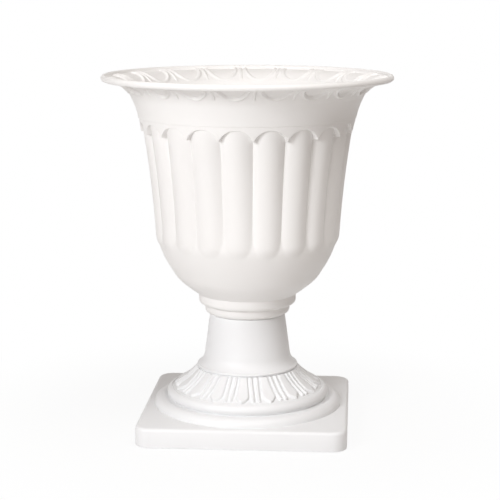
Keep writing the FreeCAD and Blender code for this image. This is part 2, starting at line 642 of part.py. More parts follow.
# ------------------------------------------------------------- checks, then the files
faults = [item.Name for item in doc.Objects if "Invalid" in item.State or "Error" in item.State]
if faults:
    raise SystemExit("failed objects: " + ", ".join(faults))
for piece in pieces:
    shape = piece.Shape
    if shape.isNull() or not shape.isValid() or len(shape.Solids) != 1:
        raise SystemExit("%s is not one sound solid" % piece.Label)
    print("%-12s %9.1f cm3" % (piece.Label, shape.Volume / 1000))

for piece in pieces:
    piece.Shape.exportStep("parts/%s.step" % piece.Label)
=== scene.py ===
# %% [markdown]
# # An urn planter in two mouldings
#
# The real object is a garden urn in white moulded polypropylene: a reeded bowl that stands
# with a spigot in a moulded pedestal. The CAD frame already holds both at their true sizes.
# Here every piece is modelled again in Blender, with the soft edges and the relief that a mould
# gives, and gets its finish. All sizes are in millimetres and become metres in one place.

# %% Load the frame
import json
import math
import bpy
import numpy as np
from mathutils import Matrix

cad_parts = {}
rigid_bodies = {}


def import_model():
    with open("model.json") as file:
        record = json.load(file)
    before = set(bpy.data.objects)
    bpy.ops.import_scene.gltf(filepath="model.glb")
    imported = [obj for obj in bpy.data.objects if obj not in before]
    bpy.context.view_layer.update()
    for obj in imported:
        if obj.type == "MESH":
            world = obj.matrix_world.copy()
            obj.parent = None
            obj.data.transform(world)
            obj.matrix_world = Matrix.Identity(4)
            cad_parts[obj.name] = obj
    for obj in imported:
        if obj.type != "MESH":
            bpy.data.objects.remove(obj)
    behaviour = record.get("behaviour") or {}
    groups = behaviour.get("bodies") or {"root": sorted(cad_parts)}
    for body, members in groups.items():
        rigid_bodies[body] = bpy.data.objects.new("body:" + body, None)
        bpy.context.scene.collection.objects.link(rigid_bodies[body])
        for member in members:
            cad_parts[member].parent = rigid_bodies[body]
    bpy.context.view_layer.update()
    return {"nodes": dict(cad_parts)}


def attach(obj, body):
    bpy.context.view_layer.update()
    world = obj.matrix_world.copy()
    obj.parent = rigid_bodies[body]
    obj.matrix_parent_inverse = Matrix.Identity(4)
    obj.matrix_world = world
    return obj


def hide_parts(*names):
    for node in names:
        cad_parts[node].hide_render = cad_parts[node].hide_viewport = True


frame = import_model()
print("nodes:", sorted(frame["nodes"]))


def mm(value):
    return value / 1000.0


# %% [markdown]
# ## Turning a shape
#
# An urn is a turned shape, so each moulding could start from a cylinder that is scaled ring by
# ring. A drawn outline that is spun once round the axis is truer: the outline is the drawing that
# a mould maker would use. A point is its start, each further point is extruded from the last
# one, and a screw modifier without any rise turns it round. An outline is a list of points, each
# a distance from the axis and a height.

# %% Helpers for outlines
def arc(start, end, radius, to_left, count):
    """Points after start up to end on an arc, whose centre lies left or right of the way."""
    (r0, z0), (r1, z1) = start, end
    chord = math.hypot(r1 - r0, z1 - z0)
    out = math.sqrt(max(radius ** 2 - (chord / 2) ** 2, 0)) * (1 if to_left else -1)
    centre_r = (r0 + r1) / 2 + (z1 - z0) / chord * out
    centre_z = (z0 + z1) / 2 - (r1 - r0) / chord * out
    first = math.atan2(z0 - centre_z, r0 - centre_r)
    sweep = math.atan2(z1 - centre_z, r1 - centre_r) - first
    sweep = (sweep + math.pi) % (2 * math.pi) - math.pi
    return [(centre_r + radius * math.cos(first + sweep * i / count),
             centre_z + radius * math.sin(first + sweep * i / count)) for i in range(1, count + 1)]


def round_moulding(centre, radius, first, last, count):
    """Points on an arc that is given by its centre and by two angles in degrees."""
    return [(centre[0] + radius * math.cos(math.radians(swing)),
             centre[1] + radius * math.sin(math.radians(swing)))
            for swing in np.linspace(first, last, count)]


def line(start, end, count):
    """Points after start up to end on a straight way."""
    return [(start[0] + (end[0] - start[0]) * i / count,
             start[1] + (end[1] - start[1]) * i / count) for i in range(1, count + 1)]


def still(points):
    """Rows of an outline that stay where they are drawn, for lists with rows of other kinds."""
    return [("still", point) for point in points]


# %% A helper that turns an outline
MERGE_GAP = 0.02


def turn_outline(name, points, steps, to_axis=False):
    """Draws an outline by extruding from point to point, and spins it round the axis.

    It is a closed ring, or with to_axis an open line that starts and ends on the axis.
    """
    bpy.ops.object.select_all(action="DESELECT")
    bpy.ops.mesh.primitive_plane_add(size=mm(1), location=(0, 0, 0))
    piece = bpy.context.object
    piece.name = piece.data.name = name
    bpy.context.tool_settings.mesh_select_mode = (True, False, False)
    bpy.ops.object.mode_set(mode="EDIT")
    bpy.ops.mesh.select_all(action="SELECT")
    bpy.ops.mesh.merge(type="CENTER")
    bpy.ops.transform.translate(value=(mm(points[0][0]), 0, mm(points[0][1])))
    for (r0, z0), (r1, z1) in zip(points, points[1:] + ([] if to_axis else points[:1])):
        bpy.ops.mesh.extrude_region_move(
            TRANSFORM_OT_translate={"value": (mm(r1 - r0), 0, mm(z1 - z0))})
    bpy.ops.mesh.select_all(action="SELECT")
    bpy.ops.mesh.remove_doubles(threshold=mm(MERGE_GAP))
    bpy.ops.object.mode_set(mode="OBJECT")
    bpy.ops.object.modifier_add(type="SCREW")
    lathe = piece.modifiers[-1]
    lathe.axis, lathe.angle = "Z", math.tau
    lathe.steps = lathe.render_steps = steps
    lathe.use_merge_vertices = True
    lathe.merge_threshold = mm(MERGE_GAP)
    bpy.ops.object.modifier_apply(modifier=lathe.name)
    bpy.ops.object.mode_set(mode="EDIT")
    bpy.ops.mesh.select_all(action="SELECT")
    bpy.ops.mesh.normals_make_consistent(inside=False)
    bpy.ops.object.mode_set(mode="OBJECT")
    print(name, "turned:", len(piece.data.polygons), "faces")
    return piece


def smooth(piece, angle=38):
    """Smooth faces that keep the edges that are sharper than the angle, in degrees."""
    bpy.ops.object.select_all(action="DESELECT")
    piece.select_set(True)
    bpy.context.view_layer.objects.active = piece
    bpy.ops.object.shade_smooth_by_angle(angle=math.radians(angle))


def sizes_of(piece):
    """The piece's size along each axis, in millimetres."""
    return [round(side * 1000, 1) for side in piece.dimensions]


# %% [markdown]
# ## Pressing relief into it
#
# Reeds, eggs and leaves could be pieces of their own, laid on the wall. In a moulding they are
# one skin with it, so the points of the turned mesh are moved instead, as a sculptor pushes clay.
# A point keeps the row of the outline that it came from, and each kind of row has its own rule.

# %% Helpers that move points
def points_of(piece):
    """Radius, height and angle of each mesh point, in millimetres and radians."""
    flat = np.empty(len(piece.data.vertices) * 3)
    piece.data.vertices.foreach_get("co", flat)
    place = flat.reshape(-1, 3) * 1000.0
    return np.hypot(place[:, 0], place[:, 1]), place[:, 2], np.arctan2(place[:, 1], place[:, 0])


def press(piece, radius, height, angle):
    """Moves each mesh point to a new radius, height and angle."""
    place = np.stack([radius * np.cos(angle), radius * np.sin(angle), height], axis=1) / 1000.0
    piece.data.vertices.foreach_set("co", place.reshape(-1))
    piece.data.update()


def rows_of(points, radius, height):
    """Which point of the outline each mesh point came from, worked out in blocks."""
    outline = np.array(points)
    row = np.empty(len(radius), int)
    block = 20000
    for first in range(0, len(radius), block):
        part = slice(first, first + block)
        gap = (radius[part, None] - outline[:, 0]) ** 2 + (height[part, None] - outline[:, 1]) ** 2
        row[part] = np.argmin(gap, axis=1)
    return row


# %% Helpers for soft shapes
def soft_max(a, b, blend):
    """The larger of two heights, with a rounded inside corner where they meet."""
    share = np.clip(0.5 + 0.5 * (a - b) / blend, 0, 1)
    return b + (a - b) * share + blend * share * (1 - share)


def step_up(value, low, high):
    """0 below low, 1 above high and a soft step between them."""
    share = np.clip((value - low) / (high - low), 0, 1)
    return share * share * (3 - 2 * share)


def rounded(inside, edge):
    """0 outside, 1 well inside, and a round shoulder over the width of edge."""
    share = np.clip(inside / edge, 0, 1)
    return np.sqrt(1 - (1 - share) ** 2)


# %% [markdown]
# ## The bowl below the band
#
# Twenty convex reeds run down from a scalloped band and end in rounds over a plain bottom. They
# could be twenty separate rods let into a bowl, but in the real moulding reed and wall are one
# skin with rounded valleys. So the wall is spun plain, and its points are then pressed out to the
# reed's round face: in each row the larger of wall and reed counts.

# %% Sizes of the reeds and the band
REEDS = 20
HALF_PITCH = math.radians(180 / REEDS)
BOWL_TURN = math.radians(-1.6)      # the bowl stands turned a little on its foot
REED_ROUND, REED_END = 28.0, 259.5
VALLEY_DEPTH = 2.4                  # how much deeper the valleys lie than the plain wall
BAND_TOP, BAND_RADIUS, BAND_SLOPE = 411.5, 141.2, 0.128
ARCH_ROUND, ARCH_CENTRE, ARCH_LEVEL = 23.954, 383.546, 139.6
BOTTOM_ROUND, BOTTOM_CENTRE = 122.0, 280.8
BELLY, BELLY_HEIGHT, BELLY_SPREAD = 1.6, 199.0, 9.0
SIDE_START, SIDE_RUN = 251.4, 143.6
SIDE_RADIUS, SIDE_FLARE, SIDE_SAG = 118.4, 13.4, 7.43
CREST_START, CREST_RUN = 261.0, 74.0
CREST_RADIUS, CREST_FLARE, CREST_CURVE = 122.0, 6.5, 1.95
INNER_ROUND = 118.0


def from_crest(angle):
    """Angle from the middle of the nearest reed, within half a pitch."""
    return (angle + HALF_PITCH) % (2 * HALF_PITCH) - HALF_PITCH


def plain_wall(height):
    """The plain wall's radius: a round bottom, a little full low down, and a hollow side."""
    ball = np.sqrt(np.maximum(BOTTOM_ROUND ** 2 - (BOTTOM_CENTRE - height) ** 2, 1))
    ball = ball + BELLY * np.exp(-((height - BELLY_HEIGHT) / BELLY_SPREAD) ** 2)
    share = (height - SIDE_START) / SIDE_RUN
    side = SIDE_RADIUS + SIDE_FLARE * share - SIDE_SAG * share * (1 - share)
    return -soft_max(-ball, -side, 2.0)


def reed_crest(height):
    """The crests' radius: 122.0 mm at 261 mm, 128.5 mm at 335 mm and 138.9 mm at 409 mm."""
    share = (height - CREST_START) / CREST_RUN
    return CREST_RADIUS + CREST_FLARE * share + CREST_CURVE * share * (share - 1)


# %% The pressed shape of the reeds and the scallops
SQUARENESS = 2.4                    # 2 would end a reed in a ball, more ends it blunter


def bowl_radius(height, turn):
    """Outside of the bowl at a height and an angle from the crest of a reed."""
    centre = reed_crest(height) - REED_ROUND
    across = np.abs(centre * np.sin(turn))
    down = np.maximum(REED_END - height, 0)
    off = (across ** SQUARENESS + down ** SQUARENESS) ** (1 / SQUARENESS)
    reed = centre * np.cos(turn) + np.sqrt(np.maximum(REED_ROUND ** 2 - off ** 2, 0))
    reed = np.where(off < REED_ROUND, reed, 0)
    valley = plain_wall(height) - VALLEY_DEPTH * step_up(height, 248, 274)
    return soft_max(valley, reed, 1.2)


def band_face(height):
    """Radius of the band, which narrows a little downwards."""
    return BAND_RADIUS - BAND_SLOPE * (BAND_TOP - height)


def arch_height(turn):
    """Lower edge of the band over a reed."""
    across = ARCH_LEVEL * np.sin(turn)
    return ARCH_CENTRE + np.sqrt(ARCH_ROUND ** 2 - across ** 2)


# %% The outline of the lower bowl
body_rows = still([(137.3, BAND_TOP), (139.6, BAND_TOP)])
body_rows += [("face", share) for share in (0, 0.04, 0.15, 0.35, 0.6, 0.8, 0.94, 1)]
body_rows += [("wall", share) for share in (0.06, 0.35, 0.7)]
body_rows += [("side", i / 32) for i in range(33)]
body_rows += [("low", height) for height in np.linspace(260, 237, 14)]
body_rows += [("low", height) for height in np.linspace(233.5, 178.0, 18)]

# the two stepped rings of the collar, each with a round lower edge
collar = [(64.75, 177.35), (64.6, 176.8)] + line((64.6, 176.8), (64.6, 169.3), 2)
collar += arc((64.6, 169.3), (58.8, 163.5), 5.8, True, 8)
collar += [(57.1, 163.5), (56.45, 163.35), (56.3, 162.8)] + line((56.3, 162.8), (56.3, 157.2), 2)
collar += arc((56.3, 157.2), (49.7, 150.6), 6.6, True, 8)
# the spigot, the drain hole and the well inside it
spigot = [(45.0, 150.6), (44.5, 150.1), (44.5, 116.0), (43.1, 114.6)]
spigot += [(9.6, 114.6), (9.0, 115.2), (9.0, 118.1), (9.5, 118.6), (37.5, 118.6)]
spigot += arc((37.5, 118.6), (40.5, 121.6), 3, False, 4) + [(40.5, 153.0), (42.0, 156.2)]
# the inside of the bowl, from the throat up to the band
inside = [(53.9, 175.3)] + arc((55.6, 176.7), (114.4, 251.9), INNER_ROUND, False, 12)
inside += [(115.3, 270), (117.3, 300), (120.9, 340), (125.7, 380), (128.0, 395), (132.7, 404)]
body_rows += still(collar + spigot + inside)
print("rows of the lower bowl:", len(body_rows))


# %% Turn the lower bowl
def drawn_at(kind, value):
    """Where a row is drawn before its points are pressed to their places.

    Any place will do for a row that is pressed, as long as it is drawn apart from the others.
    """
    if kind == "still":
        return value
    if kind == "face":
        return BAND_RADIUS - value * 0.5, BAND_TOP - 4 * value
    if kind == "wall":
        return BAND_RADIUS - 0.6 - value, BAND_TOP - 4.3
    if kind == "side":
        return 140 - 18.7 * value, 407 - 145 * value
    return float(bowl_radius(np.array(value), np.array(0.0))), float(value)


draft = [drawn_at(kind, value) for kind, value in body_rows]
bowl_body = turn_outline("bowl_body", draft, steps=REEDS * 36)

# %% Press the scallops and the reeds
SIDE_FOOT = 262.0                   # below it the rows are level
radius, height, angle = points_of(bowl_body)
row = rows_of(draft, radius, height)
turn = from_crest(angle)
edge = arch_height(turn)
for number, (kind, value) in enumerate(body_rows):
    here = row == number
    if kind == "face":
        height[here] = BAND_TOP + (edge[here] - BAND_TOP) * value
        radius[here] = band_face(height[here]) - (0.12 if value == 1 else 0)
    elif kind == "wall":
        height[here] = edge[here] - 0.15 - 0.5 * value
        face = band_face(edge[here])
        radius[here] = face + (bowl_radius(edge[here], turn[here]) - face) * value
    elif kind == "side":
        top = edge[here] - 0.8
        height[here] = top + (SIDE_FOOT - top) * value
        radius[here] = bowl_radius(height[here], turn[here])
    elif kind == "low":
        height[here] = value
        radius[here] = bowl_radius(height[here], turn[here])
press(bowl_body, radius, height, angle + BOWL_TURN)
smooth(bowl_body)
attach(bowl_body, "bowl")
print("bowl_body:", sizes_of(bowl_body))

# %% [markdown]
# ## The flared rim
#
# Above the band the wall curves out in a cove to a rounded lip. Eggs and darts are pressed into
# it from both sides. An egg is a sunk face with a rounded border on a half ellipse, and a dart is
# a slender ridge between two eggs. They could be thin plates laid on the flare, but the relief
# has to follow the cove, so it moves the points along the cove's own radius.

# %% Relief of eggs and darts
COVE_R, COVE_Z = 184.0, 422.4
OUTER_COVE, INNER_COVE = 36.4, 41.0
COVE_RISE = 14.0                    # from the cove's centre up to where it starts
EGG_HALF_WIDTH = 21.5
OUTER_EGG = {"reach": 33.0, "sink": 2.3, "proud": 0.9}
INNER_EGG = {"reach": 35.0, "sink": 1.8, "proud": 0.7}
BORDER_HALF_WIDTH = 2.6
DART_HALF_WIDTH, DART_TAPER, DART_SHARE = 3.0, 1.6, 0.6
GROUND_DEPTH = 1.5


def egg_relief(run, across, beside, reach, sink, proud):
    """Height of the relief: run is the way in from the lip, across and beside are level.

    Across is measured from the middle of an egg, beside from the middle of a dart. Between two
    borders the ground is sunk too, and a tapering dart stands in it.
    """
    off = np.maximum(np.sqrt((across / EGG_HALF_WIDTH) ** 2 + (run / reach) ** 2), 0.05)
    steep = np.sqrt((across / EGG_HALF_WIDTH ** 2) ** 2 + (run / reach ** 2) ** 2) / off
    from_border = (off - 1) / np.maximum(steep, 1e-4)
    open_ground = -GROUND_DEPTH * (1 - step_up(run, reach - 8, reach + 5))
    ground = np.where(from_border < 0, -sink, open_ground)
    border = proud - (sink + proud) * (from_border / BORDER_HALF_WIDTH) ** 2
    wide = DART_HALF_WIDTH - DART_TAPER * np.clip(run / (reach + 4), 0, 1)
    dart = DART_SHARE * proud - (GROUND_DEPTH + proud) * (beside / wide) ** 2
    # past the ends of the eggs the dart dives under the ground
    dart = dart - 3 * step_up(run, reach - 2, reach + 6)
    relief = soft_max(soft_max(ground, border, 0.4), dart, 0.4)
    return relief * step_up(run, 0.4, 2.0)


def on_cove(size, swing):
    """A point of the cove: size is its distance from the cove's centre, swing an angle."""
    return COVE_R - size * np.sin(swing), COVE_Z + size * np.cos(swing)


# %% Turn the rim
rim_rows = still([(137.3, BAND_TOP), (141.2, BAND_TOP), (141.9, BAND_TOP + 0.2),
                  (142.25, BAND_TOP + 0.7), (142.3, BAND_TOP + 1.5)])
rim_rows += still(arc((142.5, 413.8), (150.4, 436.4), 98, True, 6))
outer_swing = math.acos(COVE_RISE / OUTER_COVE)
rim_rows += [("cove", outer_swing * (1 - i / 37)) for i in range(1, 38)]
rim_rows += still(arc((185.9, 458.8), (190.0, 462.9), 4.1, False, 6))
rim_rows += still(arc((190.0, 462.9), (185.9, 467.0), 4.1, False, 6))
rim_rows += still(arc((185.9, 467.0), (183.3, 464.0), 3.1, False, 4))
inner_swing = math.acos(COVE_RISE / INNER_COVE)
rim_rows += [("dish", inner_swing * i / 41) for i in range(1, 42)]
rim_rows += still(arc((145.46, 436.4), (137.3, BAND_TOP), 98, False, 6)[:-1])

cove_size = {"cove": OUTER_COVE, "dish": INNER_COVE}
draft = [value if kind == "still" else on_cove(cove_size[kind], value) for kind, value in rim_rows]
bowl_rim = turn_outline("bowl_rim", draft, steps=REEDS * 45)

# %% Press eggs and darts into both faces
radius, height, angle = points_of(bowl_rim)
row = rows_of(draft, radius, height)
turn = from_crest(angle)
for number, (kind, value) in enumerate(rim_rows):
    if kind == "still":
        continue
    here = row == number
    size = cove_size[kind]
    level = on_cove(size, value)[0]
    across = level * np.sin(turn[here])
    beside = level * np.sin(HALF_PITCH - np.abs(turn[here]))
    if kind == "cove":
        new_size = size - egg_relief(size * value, across, beside, **OUTER_EGG)
    else:
        new_size = size + egg_relief(size * value, across, beside, **INNER_EGG)
    radius[here], height[here] = on_cove(new_size, value)
press(bowl_rim, radius, height, angle + BOWL_TURN)
smooth(bowl_rim)
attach(bowl_rim, "bowl")
for piece in (bowl_body, bowl_rim):
    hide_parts("bowl")
print("bowl_rim:", sizes_of(bowl_rim))

# %% [markdown]
# ## The foot
#
# The pedestal is one hollow moulding. Its turned part starts at the neck with a rounded edge,
# widens to a thin bead, runs out in a hollow skirt and ends in two round mouldings. It could be
# stacked from cones and rings, but one outline keeps the wall closed, with the socket for the
# bowl's spigot on its inside. Leaves and pairs of ribs then rise from the skirt.

# %% Sizes and relief of the skirt
LEAVES = 16
LEAF_HALF_PITCH = math.radians(180 / LEAVES)
LEAF_RISE, RIB_RISE, GROUND_SINK = 2.9, 2.7, 0.5
LEAF_EDGE, RIB_EDGE = 2.0, 1.8
RIB_HALF_WIDTH, RIB_PLACE, RIB_END = 2.05, 3.8, 96.5
BEAD_ROOT, BEAD_ROUND, BEAD_HEIGHT = 65.1, 2.1, 79.6
SKIRT_TOP, SKIRT_FOOT, SKIRT_ROUND = (65.0, 77.4), (99.4, 50.2), 95.0
SKIRT_CENTRE = (139.7, 136.1)


def leaf_half(level):
    """Half width of a leaf: 5.0 mm at the bead, up to 8.7 mm, and a point 98 mm from the axis."""
    body = 5.0 + 3.7 * np.clip((level - 65) / 24, 0, 1)
    return body * np.clip(1 - np.clip((level - 87.5) / 10.5, 0, 1) ** 2, 0, 1)


def skirt_relief(run, level, angle):
    """Rise of leaves and ribs over the skirt: run is the way down from the bead."""
    turn = (angle + LEAF_HALF_PITCH) % (2 * LEAF_HALF_PITCH) - LEAF_HALF_PITCH
    leaf = LEAF_RISE * rounded(leaf_half(level) - np.abs(level * np.sin(turn)), LEAF_EDGE)
    beside = level * np.sin(LEAF_HALF_PITCH - np.abs(turn))
    inside = np.minimum(RIB_HALF_WIDTH - np.abs(beside - RIB_PLACE), RIB_END - level)
    rib = RIB_RISE * rounded(inside, RIB_EDGE)
    ends = step_up(run, 0.6, 2.4) * (1 - step_up(run, 41, 44))
    return (np.maximum(leaf, rib) - GROUND_SINK) * ends


# %% The outline of the foot
neck = [(45.3, 150.6), (47.1, 150.6)] + arc((47.1, 150.6), (50.1, 147.6), 3, True, 5)
neck += line((50.1, 147.6), (57.0, 95.5), 6) + arc((57.0, 95.5), (64.6, 82.2), 22, False, 7)
bead_top = (BEAD_ROOT, BEAD_HEIGHT + BEAD_ROUND)
bead_nose = (BEAD_ROOT + BEAD_ROUND, BEAD_HEIGHT)
bead_foot = (BEAD_ROOT, BEAD_HEIGHT - BEAD_ROUND)
bead = [bead_top] + arc(bead_top, bead_nose, BEAD_ROUND, True, 4)
bead += arc(bead_nose, bead_foot, BEAD_ROUND, True, 4)
skirt = arc(SKIRT_TOP, SKIRT_FOOT, SKIRT_ROUND, False, 42)
# a thin groove, the upper round, a shallow groove and the lower round that stands on the plinth
rounds = [(99.8, 49.6), (100.2, 49.6), (100.7, 50.1)]
rounds += round_moulding((100.4, 42.8), 7.6, 85, -48, 14)
rounds += [(105.9, 36.6), (107.0, 36.2), (108.4, 36.2)]
rounds += round_moulding((114.5, 26.5), 11, 117, 0, 15)
# the hidden part: into the plinth, and up inside to the socket
hollow = [(125.2, 26.2), (124.6, 25.5), (101.0, 25.5), (99.9, 26.0), (99.9, 30.0), (99.6, 30.7)]
hollow += arc((94.4, 45.3), (61.2, 76.6), SKIRT_ROUND, True, 6)
hollow += [(60.4, 78.6), (53.4, 94.6), (52.6, 96.4), (45.3, 108.8), (44.9, 110.2), (44.9, 150.2)]
foot_rows = still(neck + bead) + [("skirt", point) for point in skirt] + still(rounds + hollow)

# %% Turn the foot and press leaves and ribs out
draft = [point for kind, point in foot_rows]
pedestal_foot = turn_outline("pedestal_foot", draft, steps=LEAVES * 45)
radius, height, angle = points_of(pedestal_foot)
row = rows_of(draft, radius, height)
for number, (kind, point) in enumerate(foot_rows):
    if kind == "skirt":
        here = row == number
        run = math.hypot(point[0] - SKIRT_TOP[0], point[1] - SKIRT_TOP[1])
        rise = skirt_relief(run, point[0], angle[here])
        radius[here] += rise * (SKIRT_CENTRE[0] - point[0]) / SKIRT_ROUND
        height[here] += rise * (SKIRT_CENTRE[1] - point[1]) / SKIRT_ROUND
press(pedestal_foot, radius, height, angle)
smooth(pedestal_foot)
print("pedestal_foot:", sizes_of(pedestal_foot))

# %% [markdown]
# ## The plinth
#
# The plinth is a square box, open beneath, with round corners and a soft upper edge. It could be
# a plain block, but the moulding is a shell: so a cube is bevelled, its underside is inset and
# pushed up to leave the wall, and a round hole opens it to the hollow of the foot.

# %% Helpers that select by place
def select_nothing(piece):
    """Leaves edit mode and clears what is selected, so that a test can select anew."""
    bpy.ops.object.mode_set(mode="OBJECT")
    for group in (piece.data.polygons, piece.data.edges, piece.data.vertices):
        group.foreach_set("select", [False] * len(group))


def select_edges(piece, wanted):
    """Selects the edges whose two end points, in millimetres, pass the test together."""
    select_nothing(piece)
    place = [vertex.co * 1000 for vertex in piece.data.vertices]
    for edge in piece.data.edges:
        edge.select = wanted(*(place[i] for i in edge.vertices))
    bpy.context.tool_settings.mesh_select_mode = (False, True, False)
    bpy.ops.object.mode_set(mode="EDIT")


def select_face(piece, height):
    """Selects the largest face that lies level at a height in millimetres."""
    select_nothing(piece)
    level = [face for face in piece.data.polygons if abs(face.center.z * 1000 - height) < 0.1]
    max(level, key=lambda face: face.area).select = True
    bpy.context.tool_settings.mesh_select_mode = (False, False, True)
    bpy.ops.object.mode_set(mode="EDIT")


def box(name, size, centre):
    """A cube at its real size, with its origin left on the urn's axis at floor level."""
    bpy.ops.object.select_all(action="DESELECT")
    bpy.ops.mesh.primitive_cube_add(size=1, location=(0, 0, 0))
    piece = bpy.context.object
    piece.name = piece.data.name = name
    bpy.ops.object.mode_set(mode="EDIT")
    bpy.ops.mesh.select_all(action="SELECT")
    bpy.ops.transform.resize(value=[mm(side) for side in size], center_override=(0, 0, 0))
    bpy.ops.transform.translate(value=[mm(place) for place in centre])
    return piece


# %% Bevel the block and hollow it
PLINTH_SIDE, PLINTH_FOOT, PLINTH_TOP, PLINTH_WALL = 271.6, 1.0, 26.5, 4.0
PLINTH_THICK = PLINTH_TOP - PLINTH_FOOT
CORNER_ROUND, TOP_ROUND, FOOT_ROUND = 20.0, 4.2, 0.8
OUTER_RIM = 127.0                   # between the wall's inner and outer face
HOLE_RADIUS = 100.0


def is_foot_edge(a, b):
    """True for an edge that runs round the outside of the plinth's lower rim."""
    ways_out = [max(abs(end.x), abs(end.y)) for end in (a, b)]
    return max(a.z, b.z) < PLINTH_FOOT + 0.1 and min(ways_out) > OUTER_RIM


pedestal_plinth = box("pedestal_plinth", (PLINTH_SIDE, PLINTH_SIDE, PLINTH_THICK),
                      (0, 0, (PLINTH_FOOT + PLINTH_TOP) / 2))
select_edges(pedestal_plinth, lambda a, b: abs(a.z - b.z) > 20)
bpy.ops.mesh.bevel(offset=mm(CORNER_ROUND), segments=12, affect="EDGES")
select_face(pedestal_plinth, PLINTH_FOOT)
bpy.ops.mesh.inset(thickness=mm(PLINTH_WALL))
bpy.ops.mesh.extrude_region_move(
    TRANSFORM_OT_translate={"value": (0, 0, mm(PLINTH_THICK - PLINTH_WALL))})
select_edges(pedestal_plinth, lambda a, b: min(a.z, b.z) > PLINTH_TOP - 0.1)
bpy.ops.mesh.bevel(offset=mm(TOP_ROUND), segments=6, affect="EDGES")
select_edges(pedestal_plinth, is_foot_edge)
bpy.ops.mesh.bevel(offset=mm(FOOT_ROUND), segments=2, affect="EDGES")
bpy.ops.object.mode_set(mode="OBJECT")
print("pedestal_plinth, still closed:", len(pedestal_plinth.data.polygons), "faces")

# %% Open the plate to the hollow of the foot
bpy.ops.object.select_all(action="DESELECT")
bpy.ops.mesh.primitive_cylinder_add(vertices=160, radius=mm(HOLE_RADIUS), depth=mm(20),
                                    location=(0, 0, mm(24)))
cutter = bpy.context.object
bpy.ops.object.select_all(action="DESELECT")
pedestal_plinth.select_set(True)
bpy.context.view_layer.objects.active = pedestal_plinth
bpy.ops.object.modifier_add(type="BOOLEAN")
hole = pedestal_plinth.modifiers[-1]
hole.operation, hole.solver, hole.object = "DIFFERENCE", "EXACT", cutter
bpy.ops.object.modifier_apply(modifier=hole.name)
bpy.data.objects.remove(cutter)
smooth(pedestal_plinth, 40)
print("pedestal_plinth:", len(pedestal_plinth.data.polygons), "faces", sizes_of(pedestal_plinth))

# %% [markdown]
# ## Webs, bosses and pads
#
# Thin webs stiffen the plinth from beneath, and a round boss in each corner holds a non-slip pad
# in a recess. Webs and bosses belong to the same moulding as the plinth. They could be extruded
# from its ceiling one by one, but each is made once and copied to its places, so all are alike.
# A web's lower edges are rounded, because a mould leaves no sharp ones.

# %% A helper that copies a piece round the urn
def copies_round(piece, name, first_angle, count):
    """Copies of a piece at equal steps from the first angle on, each with its own mesh."""
    pieces = []
    for number in range(count):
        bpy.ops.object.select_all(action="DESELECT")
        piece.select_set(True)
        bpy.context.view_layer.objects.active = piece
        bpy.ops.object.duplicate(linked=False)
        copy = bpy.context.object
        copy.name = copy.data.name = "%s_%d" % (name, number + 1)
        bpy.ops.object.mode_set(mode="EDIT")
        bpy.ops.mesh.select_all(action="SELECT")
        bpy.ops.transform.rotate(value=-math.radians(first_angle + 360 * number / count),
                                 orient_axis="Z", center_override=(0, 0, 0))
        bpy.ops.object.mode_set(mode="OBJECT")
        pieces.append(copy)
    bpy.data.objects.remove(piece)
    return pieces


# %% Webs
WEB_START, WEB_FOOT, WEB_HEIGHT, WEB_THICK, WEB_ROUND = 100.1, 5.0, 18.5, 3, 0.7
CORNERS = 4
webs = []
for name, web_end, first_angle in (("side_web", 133.5, 0), ("corner_web", 150.0, 45)):
    web = box(name, (web_end - WEB_START, WEB_THICK, WEB_HEIGHT),
              ((web_end + WEB_START) / 2, 0, WEB_FOOT + WEB_HEIGHT / 2))
    select_edges(web, lambda a, b: max(a.z, b.z) < WEB_FOOT + 1)
    bpy.ops.mesh.bevel(offset=mm(WEB_ROUND), segments=3, affect="EDGES")
    bpy.ops.object.mode_set(mode="OBJECT")
    smooth(web, 40)
    webs += copies_round(web, name, first_angle, CORNERS)
print("webs:", len(webs))

# %% Bosses and pads
PAD_PLACE = 112.8


def turned_at_corner(name, points):
    """A small turned piece, moved from the axis out to the first corner of the plinth."""
    piece = turn_outline(name, points, steps=64, to_axis=True)
    bpy.ops.object.mode_set(mode="EDIT")
    bpy.ops.mesh.select_all(action="SELECT")
    bpy.ops.transform.translate(value=(mm(PAD_PLACE), mm(PAD_PLACE), 0))
    bpy.ops.object.mode_set(mode="OBJECT")
    smooth(piece, 40)
    return piece


boss = turned_at_corner("pad_boss", [(0, 2.5), (9.1, 2.5), (9.1, 1.3), (9.4, 1.0), (12.0, 1.0),
                                     (12.5, 1.5), (12.5, 21.7), (13.3, 22.6), (12.0, 23.6),
                                     (0, 23.6)])
bosses = copies_round(boss, "pad_boss", 0, CORNERS)
pad = turned_at_corner("foot_pad", [(0, 0.35), (5.6, 0.35), (6.2, 0.0), (8.3, 0.0), (8.8, 0.2),
                                    (9.0, 0.7), (9.0, 2.2), (8.7, 2.5), (0, 2.5)])
pads = copies_round(pad, "foot_pad_rubber", 180, CORNERS)
for number, piece in enumerate(pads, start=1):
    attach(piece, "pedestal")
    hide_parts("foot_pad_%d" % number)
print("bosses and pads:", len(bosses), len(pads))

# %% Hand the pedestal over
pedestal_pieces = [pedestal_foot, pedestal_plinth] + webs + bosses
for piece in pedestal_pieces:
    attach(piece, "pedestal")
    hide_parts("pedestal")
print("pieces of the pedestal:", len(pedestal_pieces))

# %% [markdown]
# ## The stopper
#
# A rubber stopper closes the drain hole when the urn stands indoors. Its stem tapers so that it
# goes in easily, its flange lies on the well's floor, and a knob on a short grip lets fingers pull
# it. It could be three cylinders, but moulded rubber has round edges all over, and one outline
# holds them.

